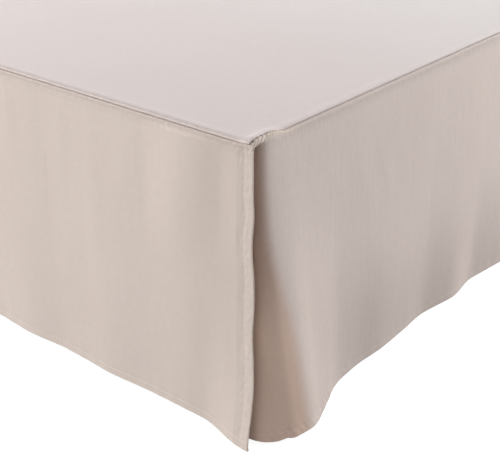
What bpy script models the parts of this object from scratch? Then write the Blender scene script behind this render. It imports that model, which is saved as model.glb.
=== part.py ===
# Bed skirt on a plain bed base, in metres, +Z up.
# X runs across the bed, Y along it with the foot end at -Y, and the floor is at Z = 0.
# The origin is on the floor under the middle of the whole part, flared corners included.
# The skirt has a platform sheet that lies on the base and three hanging panels.
# Each side panel turns the foot corner and runs behind the foot panel.

import math

import bmesh
import bpy
import numpy as np
from mathutils import Vector

# Bed and skirt sizes
BED_WIDTH = 1.524
BED_LENGTH = 2.032
FOOT_Y = -1.003
HEAD_Y = FOOT_Y + BED_LENGTH
DECK_TOP = 0.385
HEM_HEIGHT = 0.004
CLOTH = 0.0016
HEM_EXTRA = 0.0010
HEM_DEPTH = 0.013
END_HEM = 0.014
HEM_STEP = 0.003
GAP = 0.0003

# How each panel leaves the platform sheet
SEAM_INSET = 0.0057
ROLL_RADIUS = 0.0050
DECK_INSET = 0.0060
DECK_CORNER_GAP = 0.0006
DECK_HEAD_INSET = 0.0020

# How a side panel turns the foot corner and runs behind the foot panel
FOLD_START = 0.034
NOSE_START = 0.043
RETURN_END = -0.105
TUCK_UNDER = 0.0042
TUCK_END = 0.006
TUCK_BLEND = 0.018
TUCK_ROW_STEP = 0.0002
FOOT_OVERHANG = 0.0055

# Bed base and legs
BASE_INSET = 0.009
BASE_HEIGHT = 0.203
BASE_CORNER = 0.060
BASE_CORNER_STEPS = 8
BASE_EDGE = 0.012
BASE_EDGE_STEPS = 3
LEG_TOP_RADIUS = 0.027
LEG_FOOT_RADIUS = 0.019
LEG_EDGE = 0.002
LEG_SIDES = 28
LEG_INSET_X = 0.150
LEG_INSET_Y = 0.150

# The foot corner of a side panel, from its hidden end to where it hangs straight
# at: distance along the cloth from where it starts to turn in
# top_x, top_y: where the cloth is at the top, from the bed's foot corner
# out_x, out_y: how far it has moved from there at the hem
CORNER = (
    {"at": -0.107, "top_x": -0.0983, "top_y": 0.0050, "out_x": 0.0593, "out_y": -0.0090},
    {"at": -0.077, "top_x": -0.0683, "top_y": 0.0050, "out_x": 0.0589, "out_y": -0.0092},
    {"at": -0.062, "top_x": -0.0533, "top_y": 0.0058, "out_x": 0.0583, "out_y": -0.0094},
    {"at": -0.047, "top_x": -0.0389, "top_y": 0.0100, "out_x": 0.0577, "out_y": -0.0080},
    {"at": -0.035, "top_x": -0.0280, "top_y": 0.0149, "out_x": 0.0563, "out_y": -0.0049},
    {"at": -0.020, "top_x": -0.0135, "top_y": 0.0188, "out_x": 0.0500, "out_y": 0.0032},
    {"at": -0.008, "top_x": -0.0046, "top_y": 0.0267, "out_x": 0.0449, "out_y": 0.0058},
    {"at": 0.001, "top_x": -0.0014, "top_y": 0.0351, "out_x": 0.0444, "out_y": 0.0069},
    {"at": 0.020, "top_x": 0.0000, "top_y": 0.0540, "out_x": 0.0406, "out_y": 0.0070},
    {"at": 0.043, "top_x": 0.0000, "top_y": 0.0770, "out_x": 0.0365, "out_y": 0.0066},
    {"at": 0.093, "top_x": 0.0000, "top_y": 0.1270, "out_x": 0.0150, "out_y": 0.0021},
    {"at": 0.129, "top_x": 0.0000, "top_y": 0.1630, "out_x": 0.0042, "out_y": 0.0000},
    {"at": 0.169, "top_x": 0.0000, "top_y": 0.2030, "out_x": 0.0012, "out_y": 0.0000},
    {"at": 0.205, "top_x": 0.0000, "top_y": 0.2390, "out_x": 0.0000, "out_y": 0.0000},
)
# size: how far each corner has opened
# stretch: how far along the side its flare reaches
# power: how late on its way down it opens
RIGHT_CORNER = {"size": 1.00, "stretch": 1.00, "power": 1.7}
LEFT_CORNER = {"size": 0.86, "stretch": 1.14, "power": 1.9}

# Folds of the side panels past the corner
# at: distance along the panel from where it starts to turn in
# before, after: how far the fold reaches towards the foot and the head
# out: how far it stands out at the hem
# power: how late on its way down the fold opens
SIDE_LEAN = 0.0065
LEAN_START = 0.000
LEAN_FULL = 0.020
RIGHT_FOLDS = (
    {"at": 0.235, "before": 0.045, "after": 0.050, "out": 0.0035, "power": 2.4},
    {"at": 0.352, "before": 0.034, "after": 0.030, "out": -0.0040, "power": 2.8},
    {"at": 0.430, "before": 0.030, "after": 0.034, "out": 0.0050, "power": 3.4},
    {"at": 0.492, "before": 0.026, "after": 0.030, "out": -0.0035, "power": 3.0},
    {"at": 0.588, "before": 0.040, "after": 0.048, "out": 0.0045, "power": 3.4},
    {"at": 0.705, "before": 0.046, "after": 0.044, "out": -0.0045, "power": 1.4},
    {"at": 0.812, "before": 0.046, "after": 0.052, "out": 0.0065, "power": 1.7},
    {"at": 0.930, "before": 0.052, "after": 0.048, "out": -0.0035, "power": 1.3},
    {"at": 1.058, "before": 0.054, "after": 0.060, "out": 0.0085, "power": 1.8},
    {"at": 1.190, "before": 0.052, "after": 0.050, "out": -0.0050, "power": 1.5},
    {"at": 1.304, "before": 0.048, "after": 0.056, "out": 0.0055, "power": 1.7},
    {"at": 1.442, "before": 0.060, "after": 0.058, "out": -0.0030, "power": 1.3},
    {"at": 1.566, "before": 0.050, "after": 0.062, "out": 0.0090, "power": 1.9},
    {"at": 1.702, "before": 0.056, "after": 0.050, "out": -0.0045, "power": 1.4},
    {"at": 1.812, "before": 0.048, "after": 0.054, "out": 0.0060, "power": 1.6},
    {"at": 1.930, "before": 0.050, "after": 0.046, "out": -0.0040, "power": 1.5},
)
LEFT_FOLDS = (
    {"at": 0.208, "before": 0.044, "after": 0.048, "out": -0.0025, "power": 1.4},
    {"at": 0.318, "before": 0.044, "after": 0.052, "out": 0.0065, "power": 1.8},
    {"at": 0.446, "before": 0.050, "after": 0.046, "out": -0.0045, "power": 1.4},
    {"at": 0.562, "before": 0.046, "after": 0.056, "out": 0.0080, "power": 1.7},
    {"at": 0.690, "before": 0.052, "after": 0.050, "out": -0.0035, "power": 1.3},
    {"at": 0.826, "before": 0.056, "after": 0.058, "out": 0.0055, "power": 1.7},
    {"at": 0.966, "before": 0.054, "after": 0.052, "out": -0.0050, "power": 1.5},
    {"at": 1.086, "before": 0.048, "after": 0.058, "out": 0.0075, "power": 1.8},
    {"at": 1.226, "before": 0.056, "after": 0.050, "out": -0.0040, "power": 1.4},
    {"at": 1.344, "before": 0.050, "after": 0.056, "out": 0.0060, "power": 1.7},
    {"at": 1.478, "before": 0.054, "after": 0.054, "out": -0.0045, "power": 1.4},
    {"at": 1.606, "before": 0.050, "after": 0.060, "out": 0.0090, "power": 1.9},
    {"at": 1.748, "before": 0.054, "after": 0.048, "out": -0.0030, "power": 1.4},
    {"at": 1.862, "before": 0.046, "after": 0.052, "out": 0.0050, "power": 1.6},
)

# Folds of the foot panel
# at: distance along the panel from the bed's left foot corner
FOOT_LEAN = 0.0050
FOOT_FOLDS = (
    {"at": 0.176, "before": 0.044, "after": 0.050, "out": 0.0040, "power": 1.6},
    {"at": 0.300, "before": 0.046, "after": 0.044, "out": -0.0030, "power": 1.4},
    {"at": 0.418, "before": 0.046, "after": 0.054, "out": 0.0050, "power": 1.8},
    {"at": 0.548, "before": 0.050, "after": 0.048, "out": -0.0025, "power": 1.4},
    {"at": 0.664, "before": 0.044, "after": 0.052, "out": 0.0040, "power": 1.6},
    {"at": 0.786, "before": 0.046, "after": 0.044, "out": -0.0035, "power": 1.5},
    {"at": 0.898, "before": 0.044, "after": 0.052, "out": 0.0045, "power": 1.7},
    {"at": 1.052, "before": 0.046, "after": 0.034, "out": -0.0035, "power": 1.4},
    {"at": 1.131, "before": 0.028, "after": 0.030, "out": 0.0020, "power": 1.6},
    {"at": 1.194, "before": 0.026, "after": 0.028, "out": -0.0015, "power": 1.5},
    {"at": 1.291, "before": 0.036, "after": 0.048, "out": 0.0035, "power": 1.8},
)
# The foot panel's lower corners stand away from the side panels
# reach: how far from the corner the cloth starts to leave
# out, aside: how far the corner stands out and sideways at the hem
LEFT_FLARE = {"reach": 0.086, "out": 0.0170, "aside": 0.0070, "power": 2.7}
RIGHT_FLARE = {"reach": 0.074, "out": 0.0205, "aside": 0.0110, "power": 4.4}

# Spacing of the rows down a panel, as shares of the hanging length
DOWN_SHARES = (0.02, 0.12, 0.26, 0.42, 0.57, 0.70, 0.81, 0.90)
ROLL_STEPS = 3

# Spacing of the columns along a panel: a stretch ends at a distance and has so many steps
RETURN_STEPS = 4
TURN_INNER = -0.045
TURN_STEPS = 12
SIDE_STRETCHES = ({"end": 0.160, "steps": 14}, {"end": 0.628, "steps": 20})
SIDE_REST_STEPS = 40
FOOT_STRETCHES = (
    {"end": 0.090, "steps": 6},
    {"end": 1.040, "steps": 34},
    {"end": 1.440, "steps": 20},
)
FOOT_REST_STEPS = 6
DECK_ROWS = (0.25, 0.50, 0.75)
DECK_CORNER_STEPS = 8

# Colours
SKIRT_COLOUR = (0.604, 0.527, 0.472, 1.0)
DECK_COLOUR = (0.680, 0.622, 0.598, 1.0)
BASE_COLOUR = (0.700, 0.690, 0.665, 1.0)
LEG_COLOUR = (0.160, 0.085, 0.045, 1.0)
CLOTH_ROUGHNESS = 0.82
WOOD_ROUGHNESS = 0.45


def clear_scene():
    for old in list(bpy.data.objects):
        bpy.data.objects.remove(old, do_unlink=True)


def make_material(name, colour, roughness):
    material = bpy.data.materials.new(name)
    material.use_nodes = True
    shader = material.node_tree.nodes["Principled BSDF"]
    shader.inputs["Base Color"].default_value = colour
    shader.inputs["Roughness"].default_value = roughness
    shader.inputs["Metallic"].default_value = 0.0
    return material


def add_body(name, points, faces, material):
    mesh = bpy.data.meshes.new(name)
    mesh.from_pydata([tuple(p) for p in points], [], faces)
    work = bmesh.new()
    work.from_mesh(mesh)
    bmesh.ops.recalc_face_normals(work, faces=work.faces)
    if work.calc_volume(signed=True) < 0.0:
        bmesh.ops.reverse_faces(work, faces=work.faces)
    work.to_mesh(mesh)
    work.free()
    body = bpy.data.objects.new(name, mesh)
    body.data.materials.append(material)
    bpy.context.scene.collection.objects.link(body)
    return body


def ease(low, high, value):
    share = min(1.0, max(0.0, (value - low) / (high - low)))
    return share * share * (3.0 - 2.0 * share)


def fold_sum(folds, along, down):
    # Sideways swing of a panel at a distance along it and a share of its drop
    total = 0.0
    for fold in folds:
        step = along - fold["at"]
        reach = fold["before"] if step < 0.0 else fold["after"]
        total += fold["out"] * math.exp(-((step / reach) ** 2)) * down ** fold["power"]
    return total


def side_swing(folds, along, down):
    lean = SIDE_LEAN * ease(LEAN_START, LEAN_FULL, along) * down
    return lean + fold_sum(folds, along, down)


def foot_place(along, down):
    # Plan place of the foot panel
    across = along - BED_WIDTH / 2.0
    swing = FOOT_LEAN * down + fold_sum(FOOT_FOLDS, along, down)
    ends = ((LEFT_FLARE, along, -1.0), (RIGHT_FLARE, BED_WIDTH - along, 1.0))
    for flare, from_end, side in ends:
        opened = (1.0 - ease(0.0, flare["reach"], from_end)) * down ** flare["power"]
        swing += flare["out"] * opened
        across += side * flare["aside"] * opened
    return across, FOOT_Y - swing


def between(rows, column, at):
    # A smooth curve through one column of a table
    places = [row["at"] for row in rows]
    values = [row[column] for row in rows]
    if at <= places[0]:
        slope = (values[1] - values[0]) / (places[1] - places[0])
        return values[0] + slope * (at - places[0])
    for here in range(len(rows) - 1):
        if at <= places[here + 1]:
            break
    else:
        return values[-1]
    before = max(here - 1, 0)
    after = min(here + 2, len(rows) - 1)
    width = places[here + 1] - places[here]
    leave = (values[here + 1] - values[before]) / (places[here + 1] - places[before])
    arrive = (values[after] - values[here]) / (places[after] - places[here])
    t = (at - places[here]) / width
    return (
        values[here] * (2.0 * t ** 3 - 3.0 * t ** 2 + 1.0)
        + leave * width * (t ** 3 - 2.0 * t ** 2 + t)
        + values[here + 1] * (3.0 * t ** 2 - 2.0 * t ** 3)
        + arrive * width * (t ** 3 - t ** 2)
    )


def side_place(corner, along, down):
    # Plan place of a right-hand side panel, from the bed's foot corner
    if along >= NOSE_START:
        top = (0.0, FOLD_START + along)
    else:
        top = (between(CORNER, "top_x", along), between(CORNER, "top_y", along))
    reach = along / corner["stretch"] if along > 0.0 else along
    opened = corner["size"] * down ** corner["power"]
    across = top[0] + opened * between(CORNER, "out_x", reach)
    forward = top[1] + opened * between(CORNER, "out_y", reach)
    return across, forward


def profile_rows():
    # Rows of a panel from its seam down to its hem: (inset, drop, share of the drop)
    rows = [(SEAM_INSET, 0.0, 0.0)]
    for step in range(ROLL_STEPS + 1):
        angle = step / ROLL_STEPS * math.pi / 2.0
        inset = ROLL_RADIUS * (1.0 - math.sin(angle))
        drop = ROLL_RADIUS * (1.0 - math.cos(angle))
        rows.append((inset, drop, 0.0))
    full = DECK_TOP - CLOTH / 2.0 - HEM_HEIGHT
    hang = full - ROLL_RADIUS
    hem = 1.0 - HEM_DEPTH / hang
    for share in DOWN_SHARES + (hem - HEM_STEP / hang, hem, 1.0):
        rows.append((0.0, ROLL_RADIUS + share * hang, share))
    return rows


def sheet_body(name, place, out_way, stations, end_hems, tuck, material):
    # One cloth panel, thick enough to be solid, with its hems turned to the inside
    rows = profile_rows()
    count = len(stations)
    mids = np.zeros((len(rows), count, 3))
    for column, along in enumerate(stations):
        out_x, out_y = out_way(along)
        tucked = tuck(along)
        last_place = place(along, 0.0)
        last_drop = 0.0
        height = DECK_TOP - CLOTH / 2.0
        for row, (inset, drop, share) in enumerate(rows):
            here = place(along, share)
            if share > 0.0:
                run = drop - last_drop
                step = math.hypot(here[0] - last_place[0], here[1] - last_place[1])
                height -= math.sqrt(max(run * run - step * step, 0.0))
            else:
                height = DECK_TOP - CLOTH / 2.0 - drop
            last_place = here
            last_drop = drop
            inward = inset * (1.0 - tucked)
            top_limit = DECK_TOP - TUCK_UNDER - TUCK_ROW_STEP * (row + 1)
            level = height * (1.0 - tucked) + min(height, top_limit) * tucked
            mids[row, column] = (here[0] - out_x * inward, here[1] - out_y * inward, level)
    down_way = np.gradient(mids, axis=0)
    along_way = np.gradient(mids, axis=1)
    normals = np.cross(along_way, down_way)
    normals /= np.linalg.norm(normals, axis=2, keepdims=True)
    middle = len(stations) // 2
    out_x, out_y = out_way(stations[middle])
    facing = normals[-1, middle, 0] * out_x + normals[-1, middle, 1] * out_y
    if facing < 0.0:
        normals = -normals

    hem_row = len(rows) - 2
    points = []
    for layer in (0, 1):
        for row in range(len(rows)):
            for column, along in enumerate(stations):
                hemmed = row >= hem_row or end_hems(along)
                back = CLOTH / 2.0 + (HEM_EXTRA if hemmed else 0.0)
                push = CLOTH / 2.0 if layer == 0 else -back
                points.append(mids[row, column] + normals[row, column] * push)

    def at(layer, row, column):
        return (layer * len(rows) + row) * count + column

    faces = []
    for row in range(len(rows) - 1):
        for column in range(count - 1):
            quad = [(row, column), (row, column + 1), (row + 1, column + 1), (row + 1, column)]
            faces.append([at(0, r, c) for r, c in quad])
            faces.append([at(1, r, c) for r, c in reversed(quad)])
    rim = [(0, c) for c in range(count)]
    rim += [(r, count - 1) for r in range(1, len(rows))]
    rim += [(len(rows) - 1, c) for c in range(count - 2, -1, -1)]
    rim += [(r, 0) for r in range(len(rows) - 2, 0, -1)]
    for here, there in zip(rim, rim[1:] + rim[:1]):
        faces.append([at(0, *here), at(1, *here), at(1, *there), at(0, *there)])
    return add_body(name, points, faces, material)


def spaced(first, spans):
    # Stations along a panel, from its first end, through (end, number of steps) spans
    stations = [first]
    for end, steps in spans:
        start = stations[-1]
        for step in range(1, steps + 1):
            stations.append(start + (end - start) * step / steps)
    return stations


def in_end_hem(first, last, along):
    small = HEM_STEP / 100.0
    return along < first + END_HEM + small or along > last - END_HEM - small


def side_tuck(along):
    # 1 where a side panel's top is tucked under the platform sheet, 0 past the corner
    return 1.0 - ease(TUCK_END, TUCK_END + TUCK_BLEND, along)


def make_side_panel(name, side, corner, folds, material):
    first = RETURN_END
    last = BED_LENGTH - FOLD_START
    spans = [
        (first + END_HEM, 1),
        (first + END_HEM + HEM_STEP, 1),
        (TURN_INNER, RETURN_STEPS),
        (0.0, TURN_STEPS),
    ]
    spans += [(stretch["end"], stretch["steps"]) for stretch in SIDE_STRETCHES]
    spans += [
        (last - END_HEM - HEM_STEP, SIDE_REST_STEPS),
        (last - END_HEM, 1),
        (last, 1),
    ]
    stations = spaced(first, spans)

    def place(along, down):
        across, forward = side_place(corner, along, down)
        across += side_swing(folds, along, down)
        return side * (BED_WIDTH / 2.0 + across), FOOT_Y + forward

    def out_way(along):
        return side, 0.0

    def end_hems(along):
        return in_end_hem(first, last, along)

    return sheet_body(name, place, out_way, stations, end_hems, side_tuck, material)


def make_foot_panel(material):
    first = -FOOT_OVERHANG
    last = BED_WIDTH + FOOT_OVERHANG
    spans = [(first + END_HEM, 1), (first + END_HEM + HEM_STEP, 1)]
    spans += [(stretch["end"], stretch["steps"]) for stretch in FOOT_STRETCHES]
    spans += [
        (last - END_HEM - HEM_STEP, FOOT_REST_STEPS),
        (last - END_HEM, 1),
        (last, 1),
    ]
    stations = spaced(first, spans)

    def out_way(along):
        return 0.0, -1.0

    def end_hems(along):
        return in_end_hem(first, last, along)

    def tuck(along):
        return 0.0

    return sheet_body("foot_panel", foot_place, out_way, stations, end_hems, tuck, material)


def deck_side_inset(forward):
    # The platform sheet reaches over the tucked cloth at each foot corner
    tucked = side_tuck(forward - FOLD_START)
    ease_off = DECK_CORNER_GAP * 4.0 * tucked * (1.0 - tucked)
    return GAP + SEAM_INSET * (1.0 - tucked) + ease_off


def make_deck(material):
    stops = [DECK_INSET]
    for step in range(DECK_CORNER_STEPS + 1):
        stops.append(FOLD_START + TUCK_END + TUCK_BLEND * step / DECK_CORNER_STEPS)
    stops += [share * BED_LENGTH for share in DECK_ROWS]
    stops.append(BED_LENGTH - DECK_HEAD_INSET)
    top = DECK_TOP
    bottom = DECK_TOP - CLOTH
    points = []
    for stop in stops:
        half = BED_WIDTH / 2.0 - deck_side_inset(stop)
        forward = FOOT_Y + stop
        for across in (-half, -half / 2.0, half / 2.0, half):
            points.append(Vector((across, forward, top)))
    layer = len(points)
    points += [Vector((p.x, p.y, bottom)) for p in points]
    wide = 4
    faces = []
    for row in range(len(stops) - 1):
        for column in range(wide - 1):
            start = row * wide + column
            quad = [start, start + 1, start + 1 + wide, start + wide]
            faces.append(quad)
            faces.append([layer + p for p in reversed(quad)])
    long = len(stops)
    rim = [c for c in range(wide)]
    rim += [r * wide + wide - 1 for r in range(1, long)]
    rim += [(long - 1) * wide + c for c in range(wide - 2, -1, -1)]
    rim += [r * wide for r in range(long - 2, 0, -1)]
    for here, there in zip(rim, rim[1:] + rim[:1]):
        faces.append([here, layer + here, layer + there, there])
    return add_body("deck", points, faces, material)


def make_base(material):
    top = DECK_TOP - CLOTH - GAP
    bottom = top - BASE_HEIGHT
    half_x = BED_WIDTH / 2.0 - BASE_INSET
    foot_y = FOOT_Y + BASE_INSET
    head_y = HEAD_Y - DECK_HEAD_INSET
    work = bmesh.new()
    bmesh.ops.create_cube(work, size=1.0)
    for vert in work.verts:
        vert.co.x *= 2.0 * half_x
        vert.co.y = foot_y + (vert.co.y + 0.5) * (head_y - foot_y)
        vert.co.z = bottom + (vert.co.z + 0.5) * (top - bottom)
    upright = [edge for edge in work.edges if abs(edge.verts[0].co.z - edge.verts[1].co.z) > BASE_EDGE]
    bmesh.ops.bevel(
        work,
        geom=upright,
        offset=BASE_CORNER,
        segments=BASE_CORNER_STEPS,
        profile=0.5,
        affect="EDGES",
        clamp_overlap=True,
    )
    middle = (top + bottom) / 2.0
    around = [
        edge for edge in work.edges
        if (edge.verts[0].co.z - middle) * (edge.verts[1].co.z - middle) > 0.0
    ]
    bmesh.ops.bevel(
        work,
        geom=around,
        offset=BASE_EDGE,
        segments=BASE_EDGE_STEPS,
        profile=0.5,
        affect="EDGES",
        clamp_overlap=True,
    )
    mesh = bpy.data.meshes.new("foundation")
    work.to_mesh(mesh)
    work.free()
    body = bpy.data.objects.new("foundation", mesh)
    body.data.materials.append(material)
    bpy.context.scene.collection.objects.link(body)
    return bottom


def make_leg(name, across, forward, top, material):
    profile = (
        (LEG_FOOT_RADIUS - LEG_EDGE, 0.0),
        (LEG_FOOT_RADIUS, LEG_EDGE),
        (LEG_TOP_RADIUS, top - LEG_EDGE),
        (LEG_TOP_RADIUS - LEG_EDGE, top),
    )
    points = []
    for radius, height in profile:
        for side in range(LEG_SIDES):
            angle = 2.0 * math.pi * side / LEG_SIDES
            points.append(Vector((
                across + radius * math.cos(angle),
                forward + radius * math.sin(angle),
                height,
            )))
    faces = [list(range(LEG_SIDES - 1, -1, -1))]
    for ring in range(len(profile) - 1):
        for side in range(LEG_SIDES):
            here = ring * LEG_SIDES + side
            there = ring * LEG_SIDES + (side + 1) % LEG_SIDES
            faces.append([here, there, there + LEG_SIDES, here + LEG_SIDES])
    faces.append([(len(profile) - 1) * LEG_SIDES + side for side in range(LEG_SIDES)])
    return add_body(name, points, faces, material)


clear_scene()

skirt_cloth = make_material("skirt_cloth", SKIRT_COLOUR, CLOTH_ROUGHNESS)
deck_cloth = make_material("deck_cloth", DECK_COLOUR, CLOTH_ROUGHNESS)
base_cloth = make_material("base_cloth", BASE_COLOUR, CLOTH_ROUGHNESS)
leg_wood = make_material("leg_wood", LEG_COLOUR, WOOD_ROUGHNESS)

make_deck(deck_cloth)
make_foot_panel(skirt_cloth)
make_side_panel("right_panel", 1.0, RIGHT_CORNER, RIGHT_FOLDS, skirt_cloth)
make_side_panel("left_panel", -1.0, LEFT_CORNER, LEFT_FOLDS, skirt_cloth)

base_bottom = make_base(base_cloth)
leg_x = BED_WIDTH / 2.0 - LEG_INSET_X
leg_rows = (
    ("foot", FOOT_Y + LEG_INSET_Y),
    ("middle", (FOOT_Y + HEAD_Y) / 2.0),
    ("head", HEAD_Y - LEG_INSET_Y),
)
for end_name, forward in leg_rows:
    for side_name, across in (("left", -leg_x), ("right", leg_x)):
        leg_name = "leg_" + end_name + "_" + side_name
        make_leg(leg_name, across, forward, base_bottom - GAP, leg_wood)
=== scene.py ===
# %% [markdown]
# # A bed skirt on its bed base
# A bed skirt is a flat platform cloth that lies under the mattress, with long cloth panels sewn
# round it that hang to the floor. This lesson dresses the solid model of one: it sets the camera,
# hangs finer cloth on the solids' folds, adds hems, seams and gathers, and then mixes the finishes.
# The first lines load the solid model as a fixed frame. Everything is in metres, with Z up.

# %% Load the solid model
import math

import bpy
import numpy as np
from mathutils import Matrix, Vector


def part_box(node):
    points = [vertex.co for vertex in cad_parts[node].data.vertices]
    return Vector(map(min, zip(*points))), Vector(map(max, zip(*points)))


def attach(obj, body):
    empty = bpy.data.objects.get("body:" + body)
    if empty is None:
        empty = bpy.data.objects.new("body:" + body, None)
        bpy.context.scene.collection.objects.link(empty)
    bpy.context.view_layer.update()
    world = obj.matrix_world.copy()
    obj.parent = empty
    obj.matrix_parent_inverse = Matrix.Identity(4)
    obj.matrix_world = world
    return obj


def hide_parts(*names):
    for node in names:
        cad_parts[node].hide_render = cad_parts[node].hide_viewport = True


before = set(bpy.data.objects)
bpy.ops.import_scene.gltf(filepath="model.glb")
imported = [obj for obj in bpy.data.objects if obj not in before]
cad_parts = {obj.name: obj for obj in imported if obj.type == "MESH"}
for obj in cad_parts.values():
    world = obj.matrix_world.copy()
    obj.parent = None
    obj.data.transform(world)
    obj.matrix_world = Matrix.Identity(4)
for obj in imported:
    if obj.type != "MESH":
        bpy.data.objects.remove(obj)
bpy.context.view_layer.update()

bpy.ops.object.select_all(action="DESELECT")
print("solid model:", sorted(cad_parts))

# %% [markdown]
# ## The camera
# The picture looks down on one foot corner from a little over a metre away. The lens and the tilt
# are fitted to the three straight edges that meet there: both top seams and the foot panel's end.

# %% Place the camera
BED_WIDTH = 1.524
BED_LENGTH = 2.032
FOOT_Y = -1.003
HEAD_Y = FOOT_Y + BED_LENGTH
CAMERA_ASIDE = 0.7379
CAMERA_BACK = 0.8934
CAMERA_HEIGHT = 0.8501
CAMERA_TILT = 25.905
CAMERA_TURN = 39.592
LENS = 83.64

camera_data = bpy.data.cameras.new("camera")
camera_data.lens = LENS
camera_data.sensor_width = 36.0
camera_data.clip_start = 0.01
camera = bpy.data.objects.new("camera", camera_data)
bpy.context.scene.collection.objects.link(camera)
camera.location = (BED_WIDTH / 2.0 + CAMERA_ASIDE, FOOT_Y - CAMERA_BACK, CAMERA_HEIGHT)
camera.rotation_euler = (math.radians(90.0 - CAMERA_TILT), 0.0, math.radians(CAMERA_TURN))
bpy.context.scene.camera = camera
print("camera at", tuple(round(v, 3) for v in camera.location))

# %% [markdown]
# ## Sizes of the cloth
# The cloth here is thinner than in the solid model, where a sheet needs some thickness to be a
# solid at all. The fold tables are the solid's, so the fine cloth lies on its folds. Only the
# corner's curve is a little more even here. A table is a line of column names, then its rows.

# %% Sizes and fold tables
def table(columns, *rows):
    # One dictionary for each row, with the names of the columns as its keys
    names = columns.split()
    return [dict(zip(names, row)) for row in rows]


DECK_TOP = 0.385
HEM_HEIGHT = 0.004
CLOTH = 0.0006
SOLID_CLOTH = 0.0016
ROLL_RADIUS = 0.0050
FOLD_START = 0.034
NOSE_START = 0.043
RETURN_END = -0.105
FOOT_OVERHANG = 0.0055
TUCK_UNDER = 0.0042
SIDE_LEAN = 0.0065
FOOT_LEAN = 0.0050

CORNER = table(
    "at top_x top_y out_x out_y",
    (-0.107, -0.0980, 0.0050, 0.0590, -0.0090),
    (-0.077, -0.0680, 0.0050, 0.0586, -0.0092),
    (-0.062, -0.0530, 0.0056, 0.0582, -0.0094),
    (-0.047, -0.0383, 0.0082, 0.0574, -0.0072),
    (-0.035, -0.0268, 0.0120, 0.0550, -0.0028),
    (-0.020, -0.0126, 0.0165, 0.0490, 0.0045),
    (-0.008, -0.0030, 0.0237, 0.0443, 0.0076),
    (0.001, -0.0005, 0.0330, 0.0422, 0.0082),
    (0.020, 0.0000, 0.0522, 0.0405, 0.0080),
    (0.043, 0.0000, 0.0766, 0.0350, 0.0062),
    (0.093, 0.0000, 0.1270, 0.0164, 0.0022),
    (0.129, 0.0000, 0.1630, 0.0042, 0.0000),
    (0.169, 0.0000, 0.2030, 0.0012, 0.0000),
    (0.205, 0.0000, 0.2390, 0.0000, 0.0000),
)
RIGHT_CORNER = {"size": 1.00, "stretch": 1.00, "power": 1.7}
LEFT_CORNER = {"size": 0.86, "stretch": 1.14, "power": 1.9}
RIGHT_FOLDS = table(
    "at before after out power",
    (0.235, 0.045, 0.050, 0.0035, 2.4),
    (0.352, 0.034, 0.030, -0.0040, 2.8),
    (0.430, 0.030, 0.034, 0.0050, 3.4),
    (0.492, 0.026, 0.030, -0.0035, 3.0),
    (0.588, 0.040, 0.048, 0.0045, 3.4),
    (0.705, 0.046, 0.044, -0.0045, 1.4),
    (0.812, 0.046, 0.052, 0.0065, 1.7),
    (0.930, 0.052, 0.048, -0.0035, 1.3),
    (1.058, 0.054, 0.060, 0.0085, 1.8),
    (1.190, 0.052, 0.050, -0.0050, 1.5),
    (1.304, 0.048, 0.056, 0.0055, 1.7),
    (1.442, 0.060, 0.058, -0.0030, 1.3),
    (1.566, 0.050, 0.062, 0.0090, 1.9),
    (1.702, 0.056, 0.050, -0.0045, 1.4),
    (1.812, 0.048, 0.054, 0.0060, 1.6),
    (1.930, 0.050, 0.046, -0.0040, 1.5),
)
LEFT_FOLDS = table(
    "at before after out power",
    (0.208, 0.044, 0.048, -0.0025, 1.4),
    (0.318, 0.044, 0.052, 0.0065, 1.8),
    (0.446, 0.050, 0.046, -0.0045, 1.4),
    (0.562, 0.046, 0.056, 0.0080, 1.7),
    (0.690, 0.052, 0.050, -0.0035, 1.3),
    (0.826, 0.056, 0.058, 0.0055, 1.7),
    (0.966, 0.054, 0.052, -0.0050, 1.5),
    (1.086, 0.048, 0.058, 0.0075, 1.8),
    (1.226, 0.056, 0.050, -0.0040, 1.4),
    (1.344, 0.050, 0.056, 0.0060, 1.7),
    (1.478, 0.054, 0.054, -0.0045, 1.4),
    (1.606, 0.050, 0.060, 0.0090, 1.9),
    (1.748, 0.054, 0.048, -0.0030, 1.4),
    (1.862, 0.046, 0.052, 0.0050, 1.6),
)
FOOT_FOLDS = table(
    "at before after out power",
    (0.176, 0.044, 0.050, 0.0040, 1.6),
    (0.300, 0.046, 0.044, -0.0030, 1.4),
    (0.418, 0.046, 0.054, 0.0050, 1.8),
    (0.548, 0.050, 0.048, -0.0025, 1.4),
    (0.664, 0.044, 0.052, 0.0040, 1.6),
    (0.786, 0.046, 0.044, -0.0035, 1.5),
    (0.898, 0.044, 0.052, 0.0045, 1.7),
    (1.052, 0.046, 0.034, -0.0035, 1.4),
    (1.131, 0.028, 0.030, 0.0020, 1.6),
    (1.194, 0.026, 0.028, -0.0015, 1.5),
    (1.291, 0.036, 0.048, 0.0035, 1.8),
)
LEFT_FLARE = {"reach": 0.086, "out": 0.0170, "aside": 0.0070, "power": 2.7}
RIGHT_FLARE = {"reach": 0.074, "out": 0.0205, "aside": 0.0110, "power": 4.4}
print("folds:", len(RIGHT_FOLDS), len(LEFT_FOLDS), len(FOOT_FOLDS))

# %% [markdown]
# ## How a hanging cloth is described
# A hung panel is nearly flat at its seam and opens into folds on its way down. So each fold is one
# row: where it is, how far it reaches to both sides, how far it stands out at the hem and how late
# it opens. Adding the rows gives the whole swing of the cloth, and a grid of points follows it.

# %% Fold helpers
def ease(low, high, value):
    # From 0 at low to 1 at high, with soft ends
    share = np.clip((np.asarray(value, float) - low) / (high - low), 0.0, 1.0)
    return share * share * (3.0 - 2.0 * share)


def hump(value):
    # A soft bump, 1 in the middle and 0 from -1 and +1 on
    value = np.clip(np.asarray(value, float), -1.0, 1.0)
    return np.cos(value * math.pi / 2.0) ** 2


def bell(value, width):
    # 1 where the value is 0, and falling away softly to both sides
    return np.exp(-((value / width) ** 2))


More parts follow.
